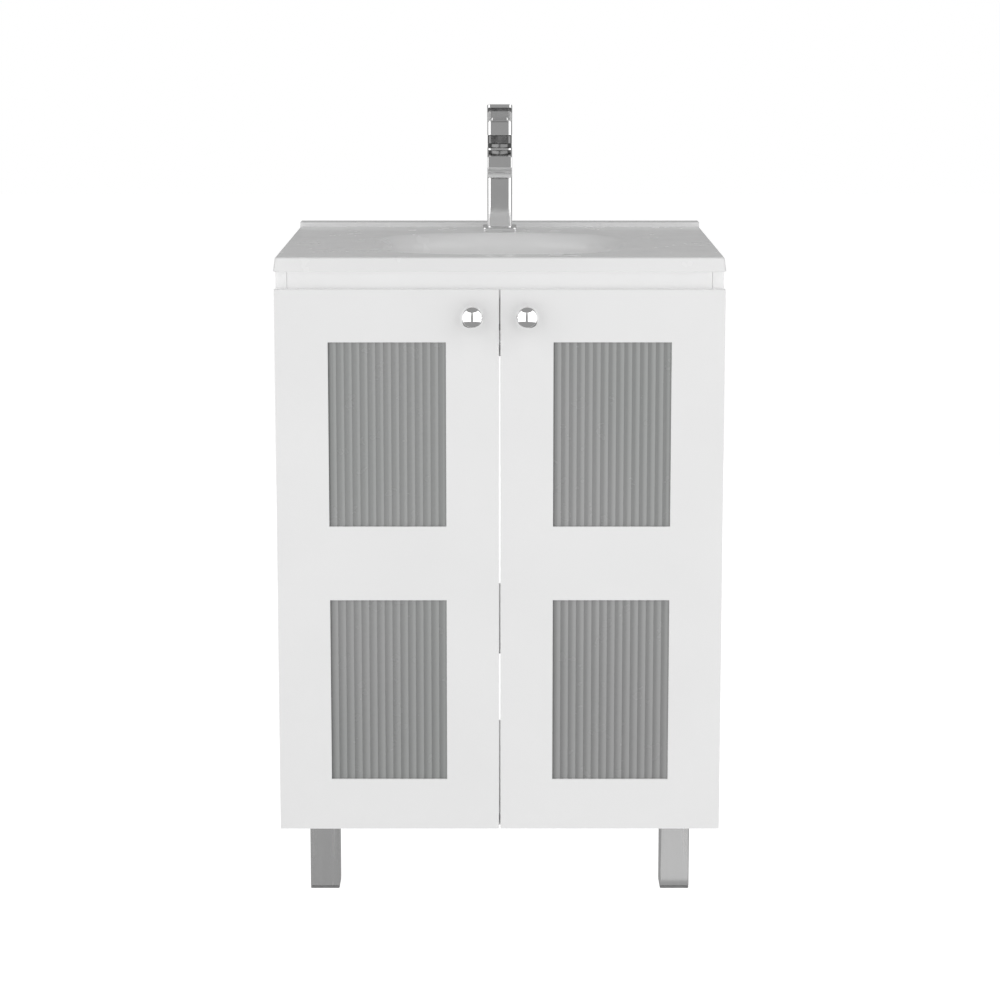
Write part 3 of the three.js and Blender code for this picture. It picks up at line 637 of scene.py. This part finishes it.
# ---------------------------------------------------------------- doors
def add_doors():
    for side in ("left", "right"):
        rounded_copy(f"door_panel_{side}", DOOR_EDGE)
        for level in ("lower", "upper"):
            add_pane(level, side)
            rounded_copy(f"glass_retainer_{level}_{side}", PLASTIC_EDGE)
        add_knob(side)
        add_bumper(side)


def add_pane(level, side):
    """Fluted glass: round ridges along its height, with sharp valleys between them."""
    node = f"glass_{level}_{side}"
    low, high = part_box(node)
    window_low, window_high = low.x + GLASS_REACH, high.x - GLASS_REACH
    steps = 14
    valley = low.y + FLUTE_HEIGHT
    outline = [(high.x, valley), (high.x, high.y), (low.x, high.y), (low.x, valley)]
    for i in range(FLUTES * steps + 1):
        crest = abs(math.sin(math.pi * i / steps))
        outline.append((window_low + (window_high - window_low) * i / (FLUTES * steps),
                        low.y + FLUTE_HEIGHT * (1 - crest)))
    rings = [[(x, y, z) for x, y in outline] for z in np.linspace(low.z, high.z, 9)]
    settle(add_mesh(node + "_fluted", [loft(rings)], 25), node)


def add_knob(side):
    node, screw = f"knob_{side}", f"knob_screw_{side}"
    low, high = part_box(node)
    centre = middle(node)
    length = high.y - low.y
    ball = length - KNOB_RADIUS
    neck = math.degrees(math.acos(KNOB_NECK / KNOB_RADIUS))
    profile = [[0, 0]] + arc((KNOB_BASE - 0.0005, 0.0005), 0.0005, -90, 0, 3)
    profile += arc((KNOB_BASE - 0.0008, 0.0012), 0.0008, 0, 90, 4)
    profile += arc((KNOB_NECK + 0.001, 0.003), 0.001, 270, 180, 4)
    bend = [point for point in arc((0, ball), KNOB_RADIUS, -neck, 90, 40) if point[1] > 0.0045]
    profile += bend[:-1] + [[0, length]]
    forward = Matrix.Rotation(math.pi / 2, 3, "X")
    settle(add_mesh(node + "_turned", [lathe(profile, forward, (centre.x, high.y, centre.z), 96)]), node)
    low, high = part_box(screw)
    shaft, head, head_height = KNOB_SCREW
    seat = (centre.x, high.y - head_height, centre.z)
    tip = low.y - seat[1]
    backward = Matrix.Rotation(-math.pi / 2, 3, "X")
    profile = [[0, tip]] + thread(shaft - THREAD_DEPTH / 2, shaft, tip + 0.0002, 0, 0.0007)
    profile += [[shaft, 0.0001], [0, 0.0001]]
    shells = [lathe(profile, backward, seat, 24), cross_screw(head, head_height, backward, seat)]
    settle(add_mesh(screw + "_turned", shells), screw)


def add_bumper(side):
    node = f"bumper_{side}"
    low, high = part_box(node)
    centre = middle(node)
    radius = (high.x - low.x) / 2
    height = high.y - low.y
    flat, shoulder = radius * 0.45, height * 0.4
    profile = [[0, 0], [radius, 0]]
    for share, rise in arc((0, 0), 1, 0, 90, 6):
        profile.append([flat + (radius - flat) * share, shoulder + (height - shoulder) * rise])
    profile += [[0, height]]
    backward = Matrix.Rotation(-math.pi / 2, 3, "X")
    settle(add_mesh(node + "_moulded", [lathe(profile, backward, (centre.x, low.y, centre.z), 32)]), node)


# ---------------------------------------------------------------- basin
BOWL_SAMPLES = 44  # steps on each side of every ring of the basin
CORNER_SAMPLES = 6


def superellipse(half_x, half_y, centre_y, power, z):
    count = 4 * (BOWL_SAMPLES + CORNER_SAMPLES)
    shift = BOWL_SAMPLES + CORNER_SAMPLES / 2
    angle = -math.pi / 4 + 2 * math.pi * (np.arange(count) - shift) / count
    c, s = np.cos(angle), np.sin(angle)
    reach = (np.abs(c) ** power + np.abs(s) ** power) ** (-1 / power)
    return np.column_stack([half_x * reach * c, centre_y + half_y * reach * s, np.full(count, z)])


def bowl_rings(front, back, half, deck, drain_y, grow, steps):
    """The bowl's skin from its seat for the drain up to where its rim's rounding starts."""
    centre, half_y = (front + BOWL_FRONT + back - BOWL_BACK) / 2, (back - BOWL_BACK - front - BOWL_FRONT) / 2
    half_x = half - BOWL_SIDE
    rings = []
    for i in range(steps, -1, -1):
        angle = math.pi / 2 * i / steps
        out = max(math.cos(angle), 0) ** (2 / WALL_POWER)
        fall = BOWL_ROUND + (BOWL_FALL - BOWL_ROUND + grow) * math.sin(angle) ** (2 / WALL_POWER)
        rings.append(superellipse(DRAIN_SEAT + grow + (half_x - DRAIN_SEAT) * out,
                                  DRAIN_SEAT + grow + (half_y - DRAIN_SEAT) * out,
                                  drain_y + (centre - drain_y) * out,
                                  2 + (BOWL_POWER - 2) * out, deck - fall))
    return rings, centre, half_x, half_y


def add_basin():
    low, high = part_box("basin")
    half, front, back = high.x, low.y, high.y
    deck = high.z - LIP_HEIGHT
    drain_y = middle("drain_body").y
    floor = deck - BOWL_FALL

    def rect(inset, z, radius):
        centre = (0, (front + inset + back) / 2)
        return rounded_rect(half - inset, (back - front - inset) / 2, radius, z, centre,
                            BOWL_SAMPLES, CORNER_SAMPLES)

    inner, centre, half_x, half_y = bowl_rings(front, back, half, deck, drain_y, 0, 30)
    rings = [superellipse(DRAIN_HOLE, DRAIN_HOLE, drain_y, 2, floor)] + inner
    for k in range(1, 13):
        angle = math.pi / 2 * k / 12
        out = BOWL_ROUND * (1 - math.cos(angle))
        rings.append(superellipse(half_x + out, half_y + out, centre, BOWL_POWER,
                                  deck - BOWL_ROUND * (1 - math.sin(angle))))
    rim = rings[-1]
    edge_inset = BASIN_DRAFT + BASIN_ROUNDING
    outer = rect(edge_inset, deck, BASIN_CORNER)
    rings += [rim + (outer - rim) * share for share in (0.15, 0.35, 0.55, 0.75, 0.9)] + [outer]
    for k in range(1, 7):
        angle = math.pi / 2 * k / 6
        rings.append(rect(edge_inset - BASIN_ROUNDING * math.sin(angle),
                          deck - BASIN_ROUNDING * (1 - math.cos(angle)), BASIN_CORNER))
    underside = deck - BASIN_EDGE
    chamfer = 0.0006
    rings += [rect(0, underside + chamfer, BASIN_CORNER), rect(chamfer, underside, BASIN_CORNER)]
    recess_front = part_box("side_panel_left")[0].y + SKIRT
    recess_y, recess_half = (recess_front + back - SKIRT) / 2, (back - SKIRT - recess_front) / 2
    for z in (underside, deck - SLAB):
        rings.append(rounded_rect(half - SKIRT, recess_half, 0.002, z, (0, recess_y),
                                  BOWL_SAMPLES, CORNER_SAMPLES))
    under, *_ = bowl_rings(front, back, half, deck, drain_y, BOWL_WALL, 24)
    rings.append(superellipse(half_x + BOWL_WALL, half_y + BOWL_WALL, centre, BOWL_POWER, deck - SLAB))
    rings += under[::-1]
    rings.append(superellipse(DRAIN_HOLE, DRAIN_HOLE, drain_y, 2, floor - BOWL_WALL))
    basin = add_mesh("basin_glazed", [loft(rings, caps=False)], 40)

    lip_front = back - LIP_DEPTH
    lip_half = half - BASIN_DRAFT - 0.0005
    top = high.z
    profile = [[lip_front, deck - 0.003]]
    profile += arc((lip_front + LIP_ROUNDING, top - LIP_ROUNDING), LIP_ROUNDING, 180, 90, 6)
    profile += [[back, top], [back, deck - 0.003]]
    lip = add_mesh("lip", [sideways(profile, lip_half)], 25)
    boolean(basin, bevel(lip, 0.0008, 3, 60), "UNION")
    tap_y = middle("faucet_shank").y
    below, above = -0.02, 0.01  # the cutter's ends, past the slab's faces
    bore = [[0, below], [TAP_HOLE, below], [TAP_HOLE, above], [0, above]]
    boolean(basin, add_mesh("tap_hole", [lathe(bore, place=(0, tap_y, deck))]), "DIFFERENCE")
    basin.data.set_sharp_from_angle(angle=math.radians(40))
    settle(basin, "basin")


# ---------------------------------------------------------------- waste
def add_drain():
    centre = middle("drain_body")
    at = (centre.x, centre.y, 0)
    low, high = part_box("drain_body")
    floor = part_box("basin")[1].z - LIP_HEIGHT - BOWL_FALL
    flange, tube, root = (high.x - low.x) / 2, DRAIN_TUBE, DRAIN_TUBE - THREAD_DEPTH
    top, seat, sleeve = high.z, floor + FIT, DRAIN_TUBE - 0.0002
    thread_low, thread_high = (low.z + rise for rise in DRAIN_THREAD)
    profile = [[DRAIN_BORE, low.z], [root, low.z], [root, thread_low]]
    profile += thread(root, tube, thread_low, thread_high, 0.0018)
    profile += [[sleeve, thread_high + 0.001], [sleeve, seat]]
    profile += arc((flange - 0.0008, seat + 0.0008), 0.0008, -90, 0, 4)
    profile += arc((flange - 0.0016, top - 0.0016), 0.0016, 0, 90, 5)
    profile += arc((DRAIN_BORE + 0.002, top - 0.002), 0.002, 90, 180, 5)
    bar_low, bar_high = (floor - fall for fall in DRAIN_BAR)
    bar = prism(DRAIN_BORE + 0.001, 0.002, 0.0008, bar_low, bar_high, 0.0006, (centre.x, centre.y))
    hole, hub_radius, chamfer = STEM_RADIUS + FIT, 0.006, 0.0005
    hub = lathe([[hole, bar_low], [hub_radius - chamfer, bar_low], [hub_radius, bar_low + chamfer],
                 [hub_radius, bar_high - chamfer], [hub_radius - chamfer, bar_high], [hole, bar_high]],
                place=at, segments=32)
    settle(add_mesh("drain_body_turned", [lathe(profile, place=at, segments=96), bar, hub]), "drain_body")

    low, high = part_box("drain_stopper")
    radius, stem = (high.x - low.x) / 2, STEM_RADIUS
    rim_low = floor + STOPPER_LOW
    rise = high.z - rim_low
    dome = [[radius * math.cos(a), rim_low + rise * 0.35 + rise * 0.65 * math.sin(a)]
            for a in np.linspace(0, math.pi / 2, 14)]
    profile = [[0, low.z], [stem - 0.0008, low.z], [stem, low.z + 0.0008], [stem, rim_low]]
    profile += [[radius - 0.001, rim_low], [radius - 0.0002, rim_low + 0.0005]] + dome[:-1] + [[0, high.z]]
    settle(add_mesh("drain_stopper_turned", [lathe(profile, place=at, segments=96)]), "drain_stopper")

    low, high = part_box("drain_gasket")
    outer, inner, bend = (high.x - low.x) / 2, tube + FIT, 0.001
    profile = [[inner, low.z]] + arc((outer - bend, low.z + bend), bend, -90, 0, 4)
    profile += arc((outer - bend, high.z - bend), bend, 0, 90, 4)
    settle(add_mesh("drain_gasket_moulded", [lathe(profile + [[inner, high.z]], place=at)]), "drain_gasket")
    rounded_copy("drain_nut", NUT_EDGE)


# ---------------------------------------------------------------- tap
def add_tap_body():
    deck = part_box("basin")[1].z - LIP_HEIGHT
    low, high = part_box("faucet_body")
    shank = middle("faucet_shank")
    x, y = shank.x, shank.y
    column = (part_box("faucet_cap")[1].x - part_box("faucet_cap")[0].x) / 2
    base_half = (high.x - low.x) / 2
    base_top = deck + TAP_BASE_HEIGHT
    base = prism(base_half, base_half, TAP_CORNER, low.z, base_top, 0.0008, (x, y), 5, 0.002)
    post = prism(column, column, TAP_CORNER, base_top - 0.001, high.z, 0.0005, (x, y), 5, 0.0015)
    top = high.z - 0.001
    end_y = low.y
    end_high = top - SPOUT_FALL
    end_low = end_high - SPOUT_END
    outline = [(y, top), (end_y + 1.5 * SPOUT_BROW, end_high + 0.0002)]
    outline += arc((end_y + SPOUT_BROW, end_high - SPOUT_BROW), SPOUT_BROW, 100, 180, 4)
    outline += arc((end_y + SPOUT_NOSE, end_low + SPOUT_NOSE), SPOUT_NOSE, 180, 270, 13)
    outline += [(y, top - SPOUT_ROOT)]
    spout = bevel(add_mesh("spout", [sideways(outline, column - 0.0005)]), 0.0015, 4, 50)
    spout_shell = ([vertex.co.copy() for vertex in spout.data.vertices],
                   [list(polygon.vertices) for polygon in spout.data.polygons])
    bpy.data.objects.remove(spout)
    settle(add_mesh("faucet_body_cast", [base, post, spout_shell]), "faucet_body")


def add_tap_top():
    low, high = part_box("faucet_cap")
    x, y = (low.x + high.x) / 2, (low.y + high.y) / 2
    half = (high.x - low.x) / 2
    cap = add_mesh("faucet_cap_cast", [prism(half, half, TAP_CORNER, low.z, high.z, 0.0012, (x, y), 5)])
    pivot = middle("lever_pin")
    slope = math.tan(LEVER_RISE)
    reach = LUG_RADIUS + 0.001
    before, above = 2 * (low.y - pivot.y), LEVER_LENGTH
    under = LEVER_CLEAR - FIT
    seat = [(before, under - before * slope), (0, under), (reach, under), (reach, above), (before, above)]
    seat = [(pivot.y + py, pivot.z + pz) for py, pz in seat]
    boolean(cap, add_mesh("seat", [sideways(seat, 2 * half)]), "DIFFERENCE")
    lug = half - LUG_MARGIN + FIT
    wide, past, notch_low = lug + NOTCH_FLARE, high.z + 0.001, high.z - NOTCH_DEPTH
    notch = [(-wide, past), (-lug, notch_low), (lug, notch_low), (wide, past)]
    rings = [[(x + px, py, pz) for px, pz in notch] for py in (low.y - 0.001, low.y + NOTCH_REACH)]
    boolean(cap, add_mesh("notch", [loft(rings)]), "DIFFERENCE")
    slot = [(pivot.y - reach, pivot.z - reach), (pivot.y + reach, pivot.z - reach),
            (pivot.y + reach, past), (pivot.y - reach, past)]
    boolean(cap, add_mesh("lug_slot", [sideways(slot, lug)]), "DIFFERENCE")
    cap.data.set_sharp_from_angle(angle=math.radians(30))
    settle(cap, "faucet_cap")

    low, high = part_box("faucet_band")
    half = (high.x - low.x) / 2
    shells = [prism(half, half, TAP_CORNER, low.z, high.z, 0.001, (x, y), 4)]
    settle(add_mesh("faucet_band_cast", shells), "faucet_band")
    low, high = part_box("faucet_collar")
    outer = (high.x - low.x) / 2
    shoulder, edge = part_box("faucet_body")[1].z + FIT, 0.0006
    profile = [[0, low.z], [NECK_STEM, low.z], [NECK_STEM, shoulder]]
    profile += arc((outer - edge, shoulder + edge), edge, -90, 0, 3)
    profile += arc((outer - edge, high.z - edge), edge, 0, 90, 3) + [[0, high.z]]
    settle(add_mesh("faucet_collar_turned", [lathe(profile, place=(x, y, 0))]), "faucet_collar")


def add_lever():
    low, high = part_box("lever_pin")
    pivot = (low + high) / 2
    radius = (high.z - low.z) / 2
    edge = STEEL_EDGE
    profile = [[0, low.x], [radius - edge, low.x], [radius, low.x + edge], [radius, high.x - edge],
               [radius - edge, high.x], [0, high.x]]
    turn = Matrix.Rotation(math.pi / 2, 3, "Y")
    settle(add_mesh("lever_pin_turned", [lathe(profile, turn, (0, pivot.y, pivot.z), 24)]), "lever_pin")

    low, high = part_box("faucet_lever")
    half = (high.x - low.x) / 2
    plate = prism(half, LEVER_LENGTH / 2, 0.0045, 0, LEVER_THICKNESS, 0.0005, (0, -LEVER_LENGTH / 2), 4)
    place = Matrix.Translation((0, pivot.y, pivot.z + LEVER_CLEAR)) @ Matrix.Rotation(-LEVER_RISE, 4, "X")
    lug = [(pivot.y - LUG_RADIUS, pivot.z + LEVER_CLEAR + LEVER_THICKNESS / 2)]
    lug += [(pivot.y + LUG_RADIUS * math.cos(a), pivot.z + LUG_RADIUS * math.sin(a))
            for a in np.linspace(math.pi, 2 * math.pi, 12)]
    lug += [(pivot.y + LUG_RADIUS / 4, pivot.z + LEVER_CLEAR + 0.001)]
    shells = [moved(plate, place), sideways(lug, half - LUG_MARGIN)]
    settle(add_mesh("faucet_lever_cast", shells), "faucet_lever")


def add_tap_below():
    shank = middle("faucet_shank")
    at = (shank.x, shank.y, 0)
    low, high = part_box("faucet_shank")
    outer = (high.x - low.x) / 2
    root = outer - THREAD_DEPTH
    profile = [[SHANK_BORE, low.z], [root, low.z]]
    profile += thread(root, outer, low.z + 0.0005, high.z - 0.002, 0.0015)
    profile += [[root, high.z], [SHANK_BORE, high.z]]
    settle(add_mesh("faucet_shank_threaded", [lathe(profile, place=at)]), "faucet_shank")
    rounded_copy("faucet_nut", NUT_EDGE)

    low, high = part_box("faucet_aerator")
    centre = middle("faucet_aerator")
    at = (centre.x, centre.y, 0)
    outer = (high.x - low.x) / 2
    inner = outer - AERATOR_WALL
    profile = [[inner, low.z + 0.0015]] + arc((inner + 0.001, low.z + 0.001), 0.001, 180, 270, 3)
    profile += arc((outer - 0.0008, low.z + 0.0008), 0.0008, -90, 0, 3) + [[outer, high.z], [inner, high.z]]
    shells = [lathe(profile, place=at, segments=48)]
    bar_low, bar_high, bar_half, bar_edge = low.z + 0.003, low.z + 0.004, 0.0003, 0.0001
    for k in range(-3, 4):
        offset = k * AERATOR_PITCH
        length = math.sqrt((inner + 0.0005) ** 2 - offset ** 2)
        for half_x, half_y, x, y in ((length, bar_half, 0, offset), (bar_half, length, offset, 0)):
            bar_centre = (centre.x + x, centre.y + y)
            shells.append(prism(half_x, half_y, bar_edge, bar_low, bar_high, bar_edge, bar_centre, 1))
    settle(add_mesh("faucet_aerator_turned", shells), "faucet_aerator")


# ---------------------------------------------------------------- stage
FLOOR_SIZE = 12  # from the centre to each side
FLOOR_SEEN = 0.93  # what the camera sees of the floor, before the light that falls on it
FLOOR_COLOR = (0.3, 0.3, 0.3, 1)
AMBIENT = 0.305  # what mirrors see around the panels
CEILING = 0.29  # what lights matt surfaces from above and behind
BOUNCE = 0.68  # the same from the floor
PANEL_RADIUS = 1.5
PANEL_BOTTOM = 0.002
PANEL_TOP = 2.75
PANEL_GAP = math.radians(9.4)
PANEL_END = math.radians(95)
PANEL_CENTRE = (-0.067, -0.2)
PANEL_LIGHT = 0.93  # what matt surfaces and mirrors see of the panels
PANEL_SHINE = 1.5


def emission(name, for_camera, for_matt, for_gloss):
    """Light that the camera, matt surfaces and mirrors see at strengths of their own."""
    material = bpy.data.materials.new(name)
    material.use_nodes = True
    tree = material.node_tree
    tree.nodes.clear()
    output = tree.nodes.new("ShaderNodeOutputMaterial")
    shine = tree.nodes.new("ShaderNodeEmission")
    tree.links.new(shine.outputs[0], output.inputs["Surface"])
    tree.links.new(strength(tree, for_camera, for_matt, for_gloss), shine.inputs["Strength"])
    return material


def strength(tree, for_camera, for_matt, for_gloss):
    path = tree.nodes.new("ShaderNodeLightPath")
    value = None
    for ray, level in (("Is Diffuse Ray", for_matt), ("Is Camera Ray", for_camera)):
        choice = tree.nodes.new("ShaderNodeMapRange")
        choice.inputs["To Min"].default_value = for_gloss
        choice.inputs["To Max"].default_value = level
        tree.links.new(path.outputs[ray], choice.inputs["Value"])
        if value:
            tree.links.new(value, choice.inputs["To Min"])
        value = choice.outputs["Result"]
    return value


def add_world():
    world = bpy.data.worlds.new("studio")
    world.use_nodes = True
    bpy.context.scene.world = world
    background = world.node_tree.nodes["Background"]
    background.inputs["Color"].default_value = (1, 1, 1, 1)
    level = strength(world.node_tree, 1.0, CEILING, AMBIENT)
    world.node_tree.links.new(level, background.inputs["Strength"])


def add_floor():
    corners = [(x * FLOOR_SIZE, y * FLOOR_SIZE, 0) for x, y in ((-1, -1), (1, -1), (1, 1), (-1, 1))]
    mesh = bpy.data.meshes.new("floor")
    mesh.from_pydata(corners, [], [[0, 1, 2, 3]])
    floor = bpy.data.objects.new("floor", mesh)
    bpy.context.scene.collection.objects.link(floor)
    material = emission("floor", FLOOR_SEEN, BOUNCE, AMBIENT)
    tree = material.node_tree
    diffuse = tree.nodes.new("ShaderNodeBsdfDiffuse")
    diffuse.inputs["Color"].default_value = FLOOR_COLOR
    both = tree.nodes.new("ShaderNodeAddShader")
    output = next(node for node in tree.nodes if node.type == "OUTPUT_MATERIAL")
    shine = next(node for node in tree.nodes if node.type == "EMISSION")
    tree.links.new(shine.outputs[0], both.inputs[0])
    tree.links.new(diffuse.outputs[0], both.inputs[1])
    tree.links.new(both.outputs[0], output.inputs["Surface"])
    mesh.materials.append(material)
    floor.visible_glossy = False


def add_panel(name, start, end):
    """A curved white panel standing in front of the cabinet, between two angles from straight ahead."""
    angles = np.linspace(start, end, 25)
    x, y = PANEL_CENTRE
    ring = [(x + PANEL_RADIUS * math.sin(a), y - PANEL_RADIUS * math.cos(a)) for a in angles]
    points = [(*corner, z) for z in (PANEL_BOTTOM, PANEL_TOP) for corner in ring]
    count = len(ring)
    faces = [[i, i + 1, count + i + 1, count + i] for i in range(count - 1)]
    mesh = bpy.data.meshes.new(name)
    mesh.from_pydata(points, [], faces)
    mesh.materials.append(emission(name, 1, PANEL_LIGHT, PANEL_SHINE))
    panel = bpy.data.objects.new(name, mesh)
    panel.visible_camera = False
    bpy.context.scene.collection.objects.link(panel)


def add_area(name, place, turn, size, energy):
    data = bpy.data.lights.new(name, "AREA")
    data.shape = "RECTANGLE"
    data.size, data.size_y = size
    data.energy = energy
    light = bpy.data.objects.new(name, data)
    light.location = place
    light.rotation_euler = turn
    bpy.context.scene.collection.objects.link(light)
    return light


def add_sun(name, turn, energy):
    data = bpy.data.lights.new(name, "SUN")
    data.energy = energy
    data.angle = math.radians(25)
    light = bpy.data.objects.new(name, data)
    light.rotation_euler = turn
    light.visible_glossy = False
    bpy.context.scene.collection.objects.link(light)
    return light


def light_only(light, names):
    """Makes a light reach only some pieces, and nothing else cast a shadow from it."""
    pieces = bpy.data.collections.new(light.name + "_pieces")
    for name in names:
        pieces.objects.link(bpy.data.objects[name])
    light.light_linking.receiver_collection = pieces
    light.light_linking.blocker_collection = pieces


def add_stage():
    add_world()
    add_floor()
    add_panel("panel_left", -PANEL_END, -PANEL_GAP)
    add_panel("panel_right", PANEL_GAP, PANEL_END)
    fill = add_area("back_fill", (0, 3.2, 1.4), (-math.pi / 2, 0, 0), (3.0, 2.0), 40)
    fill.visible_glossy = False
    fill.visible_transmission = False
    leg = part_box("leg_front_right")[0]
    gleam = add_area("leg_gleam", (leg.x + 0.03, leg.y - 0.27, 0.004), (math.pi, 0, 0), (0.2, 0.5), 0.07)
    light_only(gleam, ["leg_front_right_tube"])
    panes = [f"glass_{level}_{side}_fluted" for level in ("lower", "upper") for side in ("left", "right")]
    light_only(add_sun("pane_side_light", (math.radians(85), 0, math.radians(62)), 3.2), panes)
    strip = [f"{node}_surface" for node in ("front_rail", "side_panel_left", "side_panel_right")]
    light_only(add_sun("strip_light", (math.radians(90), 0, 0), 0.5), strip)
    bpy.context.scene.view_settings.view_transform = "Standard"


add_camera()
add_boards()
add_shelf_pins()
add_legs()
add_hinges()
add_doors()
add_basin()
add_drain()
add_tap_body()
add_tap_top()
add_lever()
add_tap_below()
add_stage()
